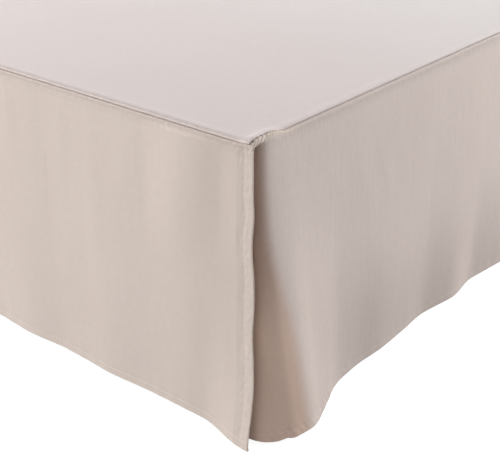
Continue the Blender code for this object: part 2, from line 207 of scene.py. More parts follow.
def fold_sum(folds, along, down):
    # How far all the folds together stand out; down is 0 at the top and 1 at the hem
    total = np.zeros_like(along)
    for fold in folds:
        step = along - fold["at"]
        reach = np.where(step < 0.0, fold["before"], fold["after"])
        total += fold["out"] * bell(step, reach) * down ** fold["power"]
    return total


def curve_through(rows, column, at):
    # A smooth curve through one column of a table
    places = np.array([row["at"] for row in rows])
    values = np.array([row[column] for row in rows])
    slopes = np.empty_like(values)
    slopes[1:-1] = (values[2:] - values[:-2]) / (places[2:] - places[:-2])
    slopes[0] = (values[1] - values[0]) / (places[1] - places[0])
    slopes[-1] = (values[-1] - values[-2]) / (places[-1] - places[-2])
    here = np.clip(np.searchsorted(places, at) - 1, 0, len(places) - 2)
    width = places[here + 1] - places[here]
    t = np.clip((at - places[here]) / width, 0.0, 1.0)
    curve = (
        values[here] * (2.0 * t ** 3 - 3.0 * t ** 2 + 1.0)
        + slopes[here] * width * (t ** 3 - 2.0 * t ** 2 + t)
        + values[here + 1] * (3.0 * t ** 2 - 2.0 * t ** 3)
        + slopes[here + 1] * width * (t ** 3 - t ** 2)
    )
    return curve + np.minimum(at - places[0], 0.0) * slopes[0]


def soft_curve(rows, column, at, reach):
    # The same curve, evened out over a short stretch so that no row shows as a crease
    shares = ((-1.0, 1.0), (-0.5, 4.0), (0.0, 6.0), (0.5, 4.0), (1.0, 1.0))
    return sum(curve_through(rows, column, at + step * reach) * part / 16.0 for step, part in shares)


print("a half-opened fold:", round(float(fold_sum(RIGHT_FOLDS, np.array([0.43]), 0.5)[0]), 5))

# %% [markdown]
# ## Uneven cloth
# Real cloth is never quite regular. Three helpers make it uneven in a repeatable way: clouds are
# broad soft swellings, ripples are the small waves that a seam or a hem's stitches draw up, and
# marks are single soft creases, each a row of its place, slant, length, width and height.

# %% Clouds, ripples and marks
def clouds(across, down, size, seed):
    # Smooth random swellings between -1 and 1, about size apart
    pick = np.random.default_rng(seed)
    table = pick.uniform(-1.0, 1.0, (64, 64))
    u, v = across / size, down / size
    left, top = np.floor(u).astype(int), np.floor(v).astype(int)
    fu, fv = u - left, v - top
    fu, fv = fu * fu * (3.0 - 2.0 * fu), fv * fv * (3.0 - 2.0 * fv)
    a, b = table[top % 64, left % 64], table[top % 64, (left + 1) % 64]
    c, d = table[(top + 1) % 64, left % 64], table[(top + 1) % 64, (left + 1) % 64]
    return (a * (1 - fu) + b * fu) * (1 - fv) + (c * (1 - fu) + d * fu) * fv


def ripples(along, spacing, seed):
    # Waves of uneven length and height
    drift = clouds(along, along * 0.0, spacing * 3.1, seed)
    height = 0.55 + 0.45 * clouds(along, along * 0.0 + 5.0, spacing * 2.3, seed + 1)
    return np.sin(2.0 * math.pi * (along / spacing + 0.8 * drift)) * height


def marks(rows, along, drop):
    # The height of all the creases of a table
    total = np.zeros_like(along)
    for row in rows:
        slant = math.atan(row["slant"])
        da, dd = along - row["at"], drop - row["drop"]
        off = da * math.cos(slant) - dd * math.sin(slant)
        run = da * math.sin(slant) + dd * math.cos(slant)
        total += row["height"] * np.exp(-((off / row["width"]) ** 2) - (run / row["length"]) ** 2)
    return total


print("clouds run from -1 to 1, ripples too")

# %% [markdown]
# ## The fold at the edge of a hem
# A hem is the cloth's own edge, turned to the inside and stitched down. Here it is modelled as it
# is sewn: past the edge the grid goes on round a tiny half circle and comes back up on the inside.
# At a corner both turned strips get narrower, as a mitred hem does, so they don't cross.

# %% Turn the hems
HEM_DEPTH = 0.010
END_HEM = 0.0135
TURN = 0.0006
TURN_STEPS = 4


def turned(count, spacing, depth, before, after):
    # For a line of grid places: where each lies, how far it goes past the edge, and how far inside
    places = [(float(place), 0.0, 0.0) for place in range(count)]
    circle = [math.pi * step / TURN_STEPS for step in range(1, TURN_STEPS + 1)]

    def strip(edge, sign, edge_spacing):
        steps = max(2, int(round(depth / edge_spacing / 1.5)))
        arc = [(edge, sign * TURN * math.sin(a), TURN * (1.0 - math.cos(a))) for a in circle]
        back = [(edge, -sign * depth * step / steps, 2.0 * TURN) for step in range(1, steps + 1)]
        return arc + back

    if before:
        places = strip(0.0, -1.0, spacing[0])[::-1] + places
    if after:
        places = places + strip(float(count - 1), 1.0, spacing[-1])
    return places


print("the two layers of a hem lie", TURN * 2000.0, "mm apart")

# %% [markdown]
# ## A cloth as a mesh
# One helper turns a grid of places into a sheet. It starts from Blender's grid primitive, whose
# points are moved to the places. The grid's UV map is set to the cloth's flat size in metres, so a
# weave drawn on it follows the folds and keeps one size. Solidify then gives it its thickness.

# %% Make a sheet from places
def solid_sheet(name, places, flat_across, flat_down, outward):
    rows, columns = places.shape[:2]
    bpy.ops.object.select_all(action="DESELECT")
    bpy.ops.mesh.primitive_grid_add(
        x_subdivisions=columns - 1, y_subdivisions=rows - 1, size=2.0, location=(0.0, 0.0, 0.0)
    )
    sheet = bpy.context.object
    sheet.name = name
    mesh = sheet.data
    mesh.name = name
    flat = np.zeros(len(mesh.vertices) * 3)
    mesh.vertices.foreach_get("co", flat)
    flat = flat.reshape(-1, 3)
    column = np.rint((flat[:, 0] + 1.0) / 2.0 * (columns - 1)).astype(int)
    row = np.rint((1.0 - flat[:, 1]) / 2.0 * (rows - 1)).astype(int)
    mesh.vertices.foreach_set("co", places[row, column].astype(np.float32).ravel())
    corners = np.zeros(len(mesh.loops), np.int32)
    mesh.loops.foreach_get("vertex_index", corners)
    cloth_map = np.stack([flat_across[column], -flat_down[row]], axis=1)
    mesh.uv_layers[0].name = "cloth"
    mesh.uv_layers[0].data.foreach_set("uv", cloth_map[corners].astype(np.float32).ravel())
    mesh.update()
    middle = mesh.polygons[(rows - 1) // 2 * (columns - 1) + (columns - 1) // 2]
    if middle.normal.dot(Vector(outward)) < 0.0:
        bpy.ops.object.mode_set(mode="EDIT")
        bpy.ops.mesh.select_all(action="SELECT")
        bpy.ops.mesh.flip_normals()
        bpy.ops.object.mode_set(mode="OBJECT")
    thick = sheet.modifiers.new("thickness", "SOLIDIFY")
    thick.thickness = CLOTH
    thick.offset = 0.0
    bpy.ops.object.modifier_apply(modifier=thick.name)
    bpy.ops.object.shade_smooth_by_angle(angle=math.radians(50.0))
    sheet.select_set(False)
    print(name, "has", len(sheet.data.polygons), "faces")
    return sheet


def sheet_frame(mids, out_way):
    # The cloth's own directions at each point: along it, down it and outwards
    down = np.gradient(mids, axis=0)
    along = np.gradient(mids, axis=1)
    down /= np.linalg.norm(down, axis=2, keepdims=True) + 1e-12
    along /= np.linalg.norm(along, axis=2, keepdims=True) + 1e-12
    out = np.cross(along, down)
    out /= np.linalg.norm(out, axis=2, keepdims=True) + 1e-12
    middle = out[-1, mids.shape[1] // 2]
    if middle[0] * out_way[0] + middle[1] * out_way[1] < 0.0:
        out = -out
    return along, down, out


# %% [markdown]
# ## Hanging a panel
# A panel's edge is sewn under the platform cloth, comes up out of the seam, rolls over the edge of
# the bed and hangs. The rows of the grid follow that line. Where the cloth swings out it needs some
# of its length for that, so the hem rises a little, as real cloth does.

# %% Rows of a panel and the panel itself
GROOVE_INSET = 0.0026
GROOVE_DEPTH = 0.0036
LIP_RADIUS = 0.0008
ROLL_DROP = 0.0030
HANG = DECK_TOP - SOLID_CLOTH / 2.0 - HEM_HEIGHT - ROLL_RADIUS
GATHER_START = 0.0055
GATHER_END = 0.0115
FIRST_STEP = 0.0016
STEP_GROWTH = 0.35
LAYER_STEP = 0.0002
MITRE_START = 0.002


def panel_rows(spacing, hem_spacing):
    # (inset from the face, drop below the top, share of the hang) from the seam to the hem
    rows = [(GROOVE_INSET, GROOVE_DEPTH, 0.0), (GROOVE_INSET, GROOVE_DEPTH / 2.0, 0.0)]
    for step in range(5):
        a = step / 4.0 * math.pi / 2.0
        rows.append((
            GROOVE_INSET - LIP_RADIUS * (1.0 - math.cos(a)),
            LIP_RADIUS * (1.0 - math.sin(a)),
            0.0,
        ))
    roll = GROOVE_INSET - LIP_RADIUS
    for step in range(1, 7):
        a = step / 6.0 * math.pi / 2.0
        rows.append((roll * (1.0 - math.sin(a)), ROLL_DROP * (1.0 - math.cos(a)), 0.0))
    rows.append((0.0, (ROLL_DROP + ROLL_RADIUS) / 2.0, 0.0))
    start = ROLL_RADIUS + 0.0004
    end = ROLL_RADIUS + HANG - TURN
    drops = [start]
    while drops[-1] < end - 0.020:
        drops.append(drops[-1] + min(spacing, FIRST_STEP + STEP_GROWTH * (drops[-1] - start)))
    count = int(math.ceil((end - drops[-1]) / hem_spacing))
    drops += [drops[-1] + (end - drops[-1]) * (k + 1) / count for k in range(count)]
    rows += [(0.0, drop, (drop - ROLL_RADIUS) / HANG) for drop in drops]
    return np.array(rows)


def stations(spans):
    # Columns of a panel from (start, end, spacing) stretches
    places = [spans[0][0]]
    for start, end, spacing in spans:
        steps = max(1, int(round((end - start) / spacing)))
        places += [start + (end - start) * (k + 1) / steps for k in range(steps)]
    return np.array(places)


def hanging_places(across, rows, place, out_way, relief, lift, tuck):
    # Where the middle of the cloth lies, for each row and column of the panel
    along, inset = np.meshgrid(across, rows[:, 0])
    drop = np.meshgrid(across, rows[:, 1])[1]
    share = np.meshgrid(across, rows[:, 2])[1]
    x, y = place(along, share, drop)
    top = DECK_TOP - CLOTH / 2.0
    step = np.hypot(np.diff(x, axis=0), np.diff(y, axis=0))
    run = np.abs(np.diff(drop, axis=0))
    hanging = drop[1:] > GATHER_END
    fall = np.where(hanging, np.sqrt(np.maximum(run ** 2 - step ** 2, 0.0)), np.diff(drop, axis=0))
    z = top - np.vstack([drop[:1], drop[:1] + np.cumsum(fall, axis=0)])
    rise, inward = lift(along, drop)
    z = z + rise
    inset = inset + inward
    if tuck is not None:
        tucked = tuck(along)
        order = np.arange(len(rows))[:, None] * LAYER_STEP
        z = z * (1.0 - tucked) + np.minimum(z, top - TUCK_UNDER - order) * tucked
        inset = inset * (1.0 - tucked)
    mids = np.stack([x - out_way[0] * inset, y - out_way[1] * inset, z], axis=2)
    out = sheet_frame(mids, out_way)[2]
    return mids + out * relief(along, drop)[:, :, None]


def between_places(grid, row, column):
    # The value of a grid at places given as fractions of its rows and columns
    r = np.clip(np.floor(row).astype(int), 0, grid.shape[0] - 2)
    c = np.clip(np.floor(column).astype(int), 0, grid.shape[1] - 2)
    fr = (row - r)[:, None]
    fc = (column - c)[:, None]
    above = grid[r, c] * (1 - fc) + grid[r, c + 1] * fc
    below = grid[r + 1, c] * (1 - fc) + grid[r + 1, c + 1] * fc
    return above * (1 - fr) + below * fr


def hang_panel(name, across, rows, place, out_way, relief, lift, tuck=None):
    mids = hanging_places(across, rows, place, out_way, relief, lift, tuck)
    way_along, way_down, out = sheet_frame(mids, out_way)
    down_flat = np.concatenate([[0.0], np.cumsum(np.linalg.norm(np.diff(rows[:, :2], axis=0), axis=1))])
    # for every column and row: the grid place, how far past the edge, and how far inside
    col = np.array(turned(len(across), np.diff(across), END_HEM, True, True))
    lin = np.array(turned(len(rows), np.diff(down_flat), HEM_DEPTH, False, True))
    at_col = col[:, 0].astype(int)
    at_lin = lin[:, 0].astype(int)
    from_end = np.minimum(across - across[0], across[-1] - across)[at_col]
    from_hem = (down_flat[-1] - down_flat)[at_lin]
    mitre_col = np.clip((from_hem + MITRE_START) / END_HEM, 0.0, 1.0)
    mitre_lin = np.clip((from_end + MITRE_START) / HEM_DEPTH, 0.0, 1.0)
    past_col = np.where(col[:, 2] >= 2.0 * TURN, col[:, 1], 0.0)
    past_lin = np.where(lin[:, 2] >= 2.0 * TURN, lin[:, 1], 0.0)
    arc_col = np.where(col[:, 2] < 2.0 * TURN, col[:, 1], 0.0)
    arc_lin = np.where(lin[:, 2] < 2.0 * TURN, lin[:, 1], 0.0)
    # a strip that comes back up follows the face that it is turned behind
    back_col = np.interp(across[at_col] + past_col, across, np.arange(len(across)))
    back_lin = np.interp(down_flat[at_lin] + past_lin, down_flat, np.arange(len(rows)))
    sheet = np.zeros((len(lin), len(col), 3))
    for i in range(len(lin)):
        row_here = at_lin[i] + (back_lin[i] - at_lin[i]) * mitre_lin
        column_here = at_col + (back_col - at_col) * mitre_col[i]
        spot = between_places(mids, row_here, column_here)
        away = between_places(out, row_here, column_here)
        inside = col[:, 2][:, None] + lin[i, 2]
        beyond = way_along[at_lin[i], at_col] * arc_col[:, None] + way_down[at_lin[i], at_col] * arc_lin[i]
        sheet[i] = spot - away * inside + beyond
    flat_x = across[at_col] + np.abs(col[:, 1]) * np.sign(at_col - 0.5)
    flat_y = down_flat[at_lin] + np.abs(lin[:, 1]) + lin[:, 2]
    return solid_sheet(name, sheet, flat_x, flat_y, (out_way[0], out_way[1], 0.0))


# %% [markdown]
# ## The foot panel
# It hangs across the foot of the bed. Its two ends are free: each has a stitched hem and lies over
# the side panel that turns behind it. The first table below holds the soft bands seen on it and the
# second one the waves of its free ends. The ripples are what the hems' stitches draw up.

# %% Hang the foot panel
FOOT_SINK = 0.0022
FOOT_SETTLE = 0.0008
CORNER_SETTLE = 0.0014
FOOT_MARKS = table(
    "at drop slant length width height",
    (1.425, 0.070, -0.04, 0.098, 0.042, 0.0040),
    (1.481, 0.058, 0.04, 0.066, 0.017, -0.0015),
    (1.366, 0.080, 0.00, 0.080, 0.014, -0.0007),
    (1.506, 0.085, 0.05, 0.030, 0.008, 0.0005),
    (1.272, 0.150, 0.03, 0.140, 0.013, 0.0005),
    (1.330, 0.060, 0.04, 0.050, 0.013, 0.0004),
    (1.215, 0.060, -0.05, 0.060, 0.014, 0.0005),
    (1.160, 0.090, 0.10, 0.090, 0.015, 0.0005),
    (1.118, 0.060, 0.00, 0.055, 0.012, 0.0006),
    (1.430, 0.235, -0.10, 0.060, 0.022, 0.0006),
    (1.512, 0.115, 0.00, 0.012, 0.004, -0.0008),
    (1.513, 0.193, 0.10, 0.013, 0.004, -0.0009),
    (1.512, 0.255, -0.10, 0.013, 0.004, -0.0008),
    (1.512, 0.009, -0.20, 0.011, 0.0016, -0.0007),
    (1.518, 0.012, 0.05, 0.013, 0.0013, -0.0006),
    (0.930, 0.110, 0.05, 0.130, 0.032, 0.0010),
    (0.770, 0.080, -0.03, 0.120, 0.034, -0.0009),
    (0.560, 0.120, 0.04, 0.130, 0.030, 0.0011),
    (0.390, 0.090, -0.04, 0.110, 0.034, -0.0010),
    (0.210, 0.110, 0.03, 0.120, 0.036, 0.0013),
    (0.080, 0.090, 0.00, 0.100, 0.036, 0.0018),
)
EDGE_WAVES = table(
    "at aside",
    (0.000, -0.0026), (0.030, -0.0024), (0.062, -0.0021), (0.083, -0.0007), (0.117, -0.0028),
    (0.136, -0.0021), (0.155, 0.0000), (0.192, 0.0011), (0.230, -0.0007), (0.249, 0.0002),
    (0.268, 0.0018), (0.305, 0.0031), (0.342, 0.0010), (0.361, -0.0008), (0.385, -0.0010),
)


def foot_place(along, share, drop):
    # Where the foot panel hangs, seen from above; both free ends flare outwards and aside
    across = along - BED_WIDTH / 2.0
    swing = FOOT_LEAN * share + fold_sum(FOOT_FOLDS, along, share)
    ends = ((LEFT_FLARE, along, -1.0), (RIGHT_FLARE, BED_WIDTH - along, 1.0))
    for flare, from_end, side in ends:
        opened = (1.0 - ease(0.0, flare["reach"], from_end)) * share ** flare["power"]
        swing = swing + flare["out"] * opened
        across = across + side * flare["aside"] * opened
        wave = curve_through(EDGE_WAVES, "aside", drop)
        across = across + side * wave * (1.0 - ease(-0.005, 0.045, from_end))
    return across, FOOT_Y - swing


STITCH_DIP = 0.00048
END_STITCH_DIP = 0.00072
SEAM_GATHER = 0.00022
END_DROP = ROLL_RADIUS + HANG - TURN


def hem_relief(drop, from_end, along, seed):
    # The doubled cloth of both hems, their stitch lines and the ripples that those draw up
    from_hem = END_DROP - drop
    uneven = 0.75 + 0.25 * ripples(along, 0.017, seed + 3)
    bulge = 0.00022 * ease(HEM_DEPTH + 0.0015, HEM_DEPTH - 0.0015, from_hem)
    line = -STITCH_DIP * uneven * bell(from_hem - HEM_DEPTH, 0.0012)
    drawn = 0.00034 * ripples(along + 0.5 * from_hem, 0.011, seed)
    drawn = drawn + 0.0003 * ripples(along, 0.027, seed + 5)
    drawn = drawn * bell(from_hem - HEM_DEPTH + 0.002, 0.008)
    uneven_end = 0.6 + 0.4 * ripples(drop, 0.024, seed + 8)
    bulge_end = 0.00016 * ease(END_HEM + 0.0030, END_HEM - 0.0030, from_end)
    line_end = -END_STITCH_DIP * uneven_end * bell(from_end - END_HEM, 0.0021)
    drawn_end = 0.0003 * ripples(drop + 0.4 * from_end, 0.019, seed + 9)
    drawn_end = drawn_end + 0.0004 * ripples(drop, 0.047, seed + 12) * ease(0.05, 0.16, drop)
    drawn_end = drawn_end * bell(from_end - END_HEM * 0.7, 0.009)
    below = ease(0.004, 0.012, drop)
    return bulge + line + drawn + (bulge_end + line_end + drawn_end) * below


def seam_relief(drop, along, strength, seed, spacing=0.0070):
    # Small gathers under the top seam
    return strength * ripples(along + 0.9 * drop, spacing, seed) * bell(drop - 0.004, 0.009)


def soft_relief(along, drop, stretch, large, small, seed):
    # Faint swellings of two sizes, between the seam and the hem
    swells = 0.0004 * clouds(along, drop * stretch, large, seed)
    return swells + 0.0002 * clouds(along, drop, small, seed + 1)


def foot_relief(along, drop):
    from_end = np.minimum(along + FOOT_OVERHANG, BED_WIDTH + FOOT_OVERHANG - along)
    quiet = ease(0.0, 0.05, drop) * ease(0.0, 0.04, END_DROP - drop + 0.01)
    soft = soft_relief(along, drop, 0.6, 0.075, 0.034, 3)
    soft = soft + 0.00006 * clouds(along / 0.010, drop / 0.060, 1.0, 5)
    shape = marks(FOOT_MARKS, along, drop) * ease(0.002, 0.012, drop)
    hems = hem_relief(drop, from_end, along, 21)
    gathers = seam_relief(drop, along, SEAM_GATHER, 31)
    return shape + soft * quiet + hems + gathers


foot_across = stations((
    (-FOOT_OVERHANG, 0.030, 0.0025),
    (0.030, 1.020, 0.0085),
    (1.020, 1.440, 0.0032),
    (1.440, BED_WIDTH + FOOT_OVERHANG, 0.0016),
))


def foot_lift(along, drop):
    # The top sinks into its seam, less so at the ends, and the hem settles a little
    from_end = np.minimum(along + FOOT_OVERHANG, BED_WIDTH + FOOT_OVERHANG - along)
    sink = FOOT_SINK * (1.0 - 0.8 * bell(from_end, 0.022))
    settled = FOOT_SETTLE + CORNER_SETTLE * (1.0 - ease(0.0, 0.20, BED_WIDTH - along))
    return -sink * bell(drop, 0.009) - settled * (drop / END_DROP) ** 2, along * 0.0


foot_panel = hang_panel(
    "foot_cloth", foot_across, panel_rows(0.0052, 0.0011), foot_place, (0.0, -1.0), foot_relief, foot_lift
)

# %% [markdown]
# ## The side panels
# Each side panel hangs along one side, turns in at the foot corner and runs a short way behind the
# foot panel. Its top stays sewn to the straight edge of the platform right up to the corner, and
# only below the seam does it fall back into the corner. There the seam is drawn up into gathers.

# %% Hang the side panels
RIGHT_MARKS = table(
    "at drop slant length width height",
    (0.018, 0.190, 0.00, 0.130, 0.030, 0.0018),
    (0.020, 0.345, 0.00, 0.110, 0.023, 0.0042),
    (0.235, 0.270, 0.10, 0.060, 0.090, 0.0030),
    (0.190, 0.120, 0.30, 0.060, 0.016, 0.0006),
    (0.235, 0.110, 0.45, 0.045, 0.013, 0.0005),
    (0.370, 0.100, -0.08, 0.110, 0.030, -0.0005),
    (0.470, 0.120, 0.10, 0.120, 0.034, 0.0007),
    (0.560, 0.090, -0.05, 0.110, 0.034, -0.0006),
    (0.700, 0.120, 0.06, 0.130, 0.040, 0.0013),
    (0.880, 0.100, -0.06, 0.120, 0.040, -0.0012),
    (1.080, 0.130, 0.05, 0.130, 0.042, 0.0014),
    (1.330, 0.110, -0.05, 0.120, 0.040, -0.0012),
    (1.560, 0.120, 0.07, 0.130, 0.042, 0.0015),
    (1.800, 0.110, -0.04, 0.120, 0.040, -0.0011),
)
LEFT_MARKS = table("at drop slant length width height", *[
    (
        0.10 + 0.155 * k, 0.10 + 0.05 * math.sin(2.1 * k), 0.16 * math.sin(1.7 * k),
        0.12, 0.036, 0.0014 * math.cos(2.6 * k),
    )
    for k in range(12)
])
SIDE_END = BED_LENGTH - FOLD_START
SEAM_START = 0.0022
TUCK_WHOLE = -0.0335
TUCK_NONE = -0.0295
SIDE_SINK = 0.0004
SIDE_SETTLE = 0.0026
TURN_SETTLE = 0.0012
ARCH_HEIGHT = 0.0050
ARCH_PUSH = 0.0004
DRAWN_IN = 0.0011
LOWER_DIP = 0.0045
CORNER_GATHER = 0.0015
GATHER_SPACING = 0.0056
HEM_LEVEL = table(
    "at rise",
    (-0.200, -0.0020), (-0.107, -0.0034), (-0.060, -0.0046), (-0.036, -0.0040),
    (-0.029, -0.0030), (-0.021, -0.0004), (-0.013, 0.0020), (0.000, 0.0031),
    (0.016, 0.0030), (0.034, 0.0024), (0.056, 0.0004), (0.074, -0.0008),
    (0.092, -0.0004), (0.118, 0.0012), (0.170, 0.0), (2.500, 0.0),
)


def corner_arch(from_corner):
    # Just past the corner the gathered seam stands up over a short stretch
    return ARCH_HEIGHT * ease(0.0, 0.016, from_corner) * (1.0 - ease(0.034, 0.066, from_corner))


def side_lift(along, drop):
    # The top rises with the gathered seam, and the hem settles and follows its table
    arch = corner_arch(along + FOLD_START)
    fade = bell(drop, 0.011)
    settled = (SIDE_SETTLE + TURN_SETTLE * (1.0 - ease(0.05, 0.13, along))) * (drop / END_DROP) ** 2
    level = np.interp(along, [row["at"] for row in HEM_LEVEL], [row["rise"] for row in HEM_LEVEL])
    settled = settled - level * (drop / END_DROP) ** 3
    return (arch - SIDE_SINK) * fade - settled, ARCH_PUSH * ease(0.0, 0.001, arch) * fade


def side_tuck(along):
    # The part behind the foot panel has its top edge tucked under the platform cloth
    return 1.0 - ease(TUCK_WHOLE, TUCK_NONE, along)


def make_side(name, side, corner, folds, crease_rows, across, rows, seed):
    # A side panel; side is 1 for the right one and -1 for the left one
    def place(along, share, drop):
        inner = np.minimum(along, NOSE_START + 0.02)
        top_x = soft_curve(CORNER, "top_x", inner, 0.005)
        top_y = soft_curve(CORNER, "top_y", inner, 0.005) + along - inner
        straight_x = np.minimum(along + FOLD_START - SEAM_START, 0.0)
        straight_y = np.maximum(FOLD_START + along, SEAM_START)
        # the seam follows the straight edge, and the cloth falls back to the corner below it
        fallen = ease(GATHER_START, GATHER_END, drop)
        top_x = straight_x * (1.0 - fallen) + top_x * fallen
        top_y = straight_y * (1.0 - fallen) + top_y * fallen
        reach = np.where(along > 0.0, along / corner["stretch"], along)
        opened = corner["size"] * share ** corner["power"]
        lean = SIDE_LEAN * ease(-0.040, 0.050, along) * share
        x = top_x + opened * soft_curve(CORNER, "out_x", reach, 0.014) + lean
        x = x + fold_sum(folds, along, share)
        y = top_y + opened * soft_curve(CORNER, "out_y", reach, 0.014)
        return side * (BED_WIDTH / 2.0 + x), FOOT_Y + y

    def relief(along, drop):
        from_end = np.minimum(along - RETURN_END, SIDE_END - along)
        quiet = ease(0.0, 0.05, drop) * ease(0.0, 0.04, END_DROP - drop + 0.01) * ease(0.0, 0.03, along)
        soft = soft_relief(along, drop, 0.7, 0.085, 0.036, seed)
        soft = soft + 0.00007 * clouds(along / 0.011, drop / 0.050, 1.0, seed + 2)
        shape = marks(crease_rows, along, drop) * ease(0.0, 0.04, drop) * ease(-0.045, -0.010, along)
        drawn_in = ease(0.002, 0.010, drop) * bell(drop - 0.010, 0.014) * ease(0.0, 0.06, along)
        shape = shape - DRAWN_IN * drawn_in
        shape = shape - LOWER_DIP * ease(0.215, 0.420, drop) * ease(0.120, 0.200, along)
        seam = SEAM_GATHER + CORNER_GATHER * hump((along + 0.012) / 0.040)
        hems = hem_relief(drop, from_end, along, seed + 20)
        gathers = seam_relief(drop, along, seam, seed + 40, GATHER_SPACING)
        return shape + soft * quiet + hems + gathers

    return hang_panel(name, across, rows, place, (side, 0.0), relief, side_lift, side_tuck)


right_across = stations((
    (RETURN_END, -0.045, 0.0060),
    (-0.045, 0.044, 0.0011),
    (0.044, 0.070, 0.0020),
    (0.070, 0.160, 0.0026),
    (0.160, 0.640, 0.0042),
    (0.640, SIDE_END - 0.020, 0.0100),
    (SIDE_END - 0.020, SIDE_END, 0.0020),
))
left_across = stations((
    (RETURN_END, -0.045, 0.0060),
    (-0.045, 0.160, 0.0034),
    (0.160, SIDE_END - 0.020, 0.0085),
    (SIDE_END - 0.020, SIDE_END, 0.0020),
))
right_panel = make_side(
    "right_cloth", 1.0, RIGHT_CORNER, RIGHT_FOLDS, RIGHT_MARKS, right_across, panel_rows(0.0054, 0.0012), 51
)
left_panel = make_side(
    "left_cloth", -1.0, LEFT_CORNER, LEFT_FOLDS, LEFT_MARKS, left_across, panel_rows(0.0062, 0.0014), 71
)

# %% [markdown]
# ## The platform cloth
# The platform lies flat and tight. Along its sewn edges it turns down into the seam, and on both
# sides it swells into a low bead just before that. At the head its edge is only a narrow hem.

# %% Lay the platform cloth
GROOVE_WIDTH = 0.0022
DECK_EDGE = GROOVE_INSET + GROOVE_WIDTH
BEAD_HEIGHT = 0.0007
CORNER_OUT = 0.0014
CORNER_FORWARD = 0.0016


def edge_profile(wide, deep):
    # From the seam up over a rounded edge: place in from the seam, and height
    rows = [(0.0, -deep - 0.0024), (0.0, -deep - 0.0012)]
    for step in range(8):
        a = step / 7.0 * math.pi / 2.0
        rows.append((wide * (1.0 - math.cos(a)), -deep * (1.0 - math.sin(a))))
    rows += [(wide + run, 0.0) for run in (0.0015, 0.0035, 0.006, 0.009, 0.013, 0.018, 0.024, 0.032)]
    return np.array(rows)


side_edge = edge_profile(0.0013, 0.0012)
foot_edge = edge_profile(0.0050, 0.0027)

half = BED_WIDTH / 2.0 - DECK_EDGE
last_side = side_edge[-1, 0]
last_foot = foot_edge[-1, 0]
inner_x = stations(((-half + last_side, 0.300, 0.0150), (0.300, half - last_side, 0.0065)))[1:-1]
deck_x = np.concatenate([-half + side_edge[:, 0], inner_x, (half - side_edge[:, 0])[::-1]])
deck_x_height = np.concatenate([side_edge[:, 1], inner_x * 0.0, side_edge[::-1, 1]])
foot_line = FOOT_Y + DECK_EDGE
head_line = HEAD_Y - 0.0030
inner_y = stations((
    (foot_line + last_foot, foot_line + 0.070, 0.0016),
    (foot_line + 0.070, foot_line + 0.500, 0.0080),
    (foot_line + 0.500, head_line - 0.020, 0.0200),
    (head_line - 0.020, head_line, 0.0040),
))[1:]
deck_y = np.concatenate([foot_line + foot_edge[:, 0], inner_y])
deck_y_height = np.concatenate([foot_edge[:, 1], inner_y * 0.0])

px, py = np.meshgrid(deck_x, deck_y)
from_side = half - np.abs(px)
from_foot = py - foot_line
bead = BEAD_HEIGHT * bell(from_side - 0.0045, 0.0030) * ease(0.0, 0.03, from_foot)
drawn = 0.00022 * ripples(py + 0.6 * from_side, 0.010, 81) * bell(from_side, 0.010)
drawn = drawn + 0.00025 * ripples(px + 0.6 * from_foot, 0.012, 83) * bell(from_foot, 0.010)
drawn = drawn + 0.0004 * ripples(px, 0.045, 84) * bell(from_foot, 0.012)
swell = 0.00045 * clouds(px, py, 0.23, 85) + 0.00022 * clouds(px, py, 0.090, 86)
swell = swell * ease(0.01, 0.08, np.minimum(from_side, from_foot))
arch = corner_arch(py - FOOT_Y) * bell(from_side, 0.012)
# at the corner the cloth is pulled outwards and forwards to meet both seams
shallow = 1.0 - 0.6 * bell(from_side, 0.016)
at_corner = np.exp(-((from_side / 0.009) ** 2) - ((from_foot - 0.012) / 0.010) ** 2)
foot_corner = np.exp(-((from_side / 0.016) ** 2) - (from_foot / 0.007) ** 2)
fall = np.minimum(deck_x_height[None, :], deck_y_height[:, None] * shallow) * (1.0 - 0.75 * at_corner)
deck_z = DECK_TOP - CLOTH / 2.0 + fall
deck_z = deck_z + bead + drawn + swell + arch
deck_z = deck_z + 0.20 * arch * ripples(py + 0.5 * from_side, 0.0058, 87)
px = px - np.sign(px) * (ARCH_PUSH * ease(0.0, 0.001, arch) - CORNER_OUT * at_corner)
py = py - CORNER_FORWARD * foot_corner
deck_places = np.stack([px, py, deck_z], axis=2)
# the head's hem: the last rows again, turned back underneath
turned_down = np.array([0.0, 0.0, 2.0 * TURN])
under = deck_places[-1:] - turned_down
back = deck_places[-5:-1][::-1] - turned_down
deck_places = np.concatenate([deck_places, under + np.array([0.0, TURN, TURN]), under, back])
deck_flat_x = np.concatenate([[0.0], np.cumsum(np.hypot(np.diff(deck_x), np.diff(deck_x_height)))])
steps_y = np.linalg.norm(np.diff(deck_places[:, deck_places.shape[1] // 2], axis=0), axis=1)
deck_flat_y = np.concatenate([[0.0], np.cumsum(steps_y)])
deck = solid_sheet("platform_cloth", deck_places[::-1], deck_flat_x, -deck_flat_y[::-1], (0.0, 0.0, 1.0))

# %% [markdown]
# ## The bed base and its legs
# The base is a plain upholstered box with round corners. It is modelled from a cube: its upright
# edges are bevelled wide, then the edges round its top and bottom a little. A leg is a cone whose
# two rims are bevelled. One is modelled and the others are copies with a mesh of their own.

# %% Model the base
BASE_CORNER = 0.060
BASE_RIM = 0.012


def only_edges(piece, wanted):
    bpy.ops.object.mode_set(mode="EDIT")
    bpy.ops.mesh.select_mode(type="EDGE")
    bpy.ops.mesh.select_all(action="DESELECT")
    bpy.ops.object.mode_set(mode="OBJECT")
    for e in piece.data.edges:
        e.select = wanted(*[piece.data.vertices[v].co for v in e.vertices])
    bpy.ops.object.mode_set(mode="EDIT")


